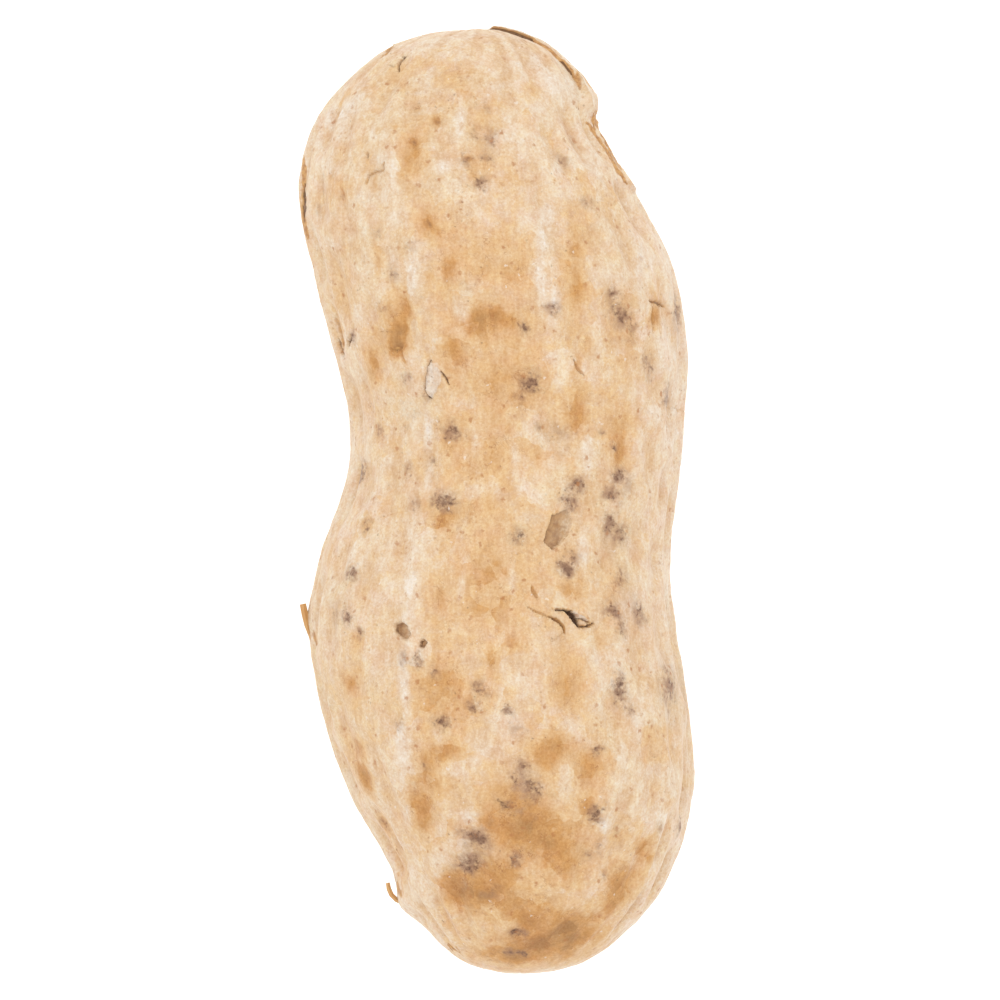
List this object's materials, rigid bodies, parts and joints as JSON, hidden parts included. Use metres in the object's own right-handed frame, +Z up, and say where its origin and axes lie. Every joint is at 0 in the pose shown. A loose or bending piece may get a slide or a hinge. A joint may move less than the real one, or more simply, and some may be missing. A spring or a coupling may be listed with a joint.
{
  "type": "peanut in its shell",
  "caption": "Whole peanut in its shell: a curved, two-lobed pod with a narrow waist, lengthwise ribs, a raised net of pits and a seam, lying on its side.",
  "frame": {"origin": "on the surface the pod lies on, under the middle of its box", "axes": "+Y along the pod towards its upper lobe, +Z up out of the face the picture shows, the seam of the two halves in the level plane through the middle"},
  "size_m": [0.017, 0.0408, 0.0142],
  "materials": {
    "shell": "matt, dry and fibrous, cream with tan pits and grey-brown mould specks"
  },
  "bodies": {
    "root": {"pod": "shell"}
  },
  "joints": []
}
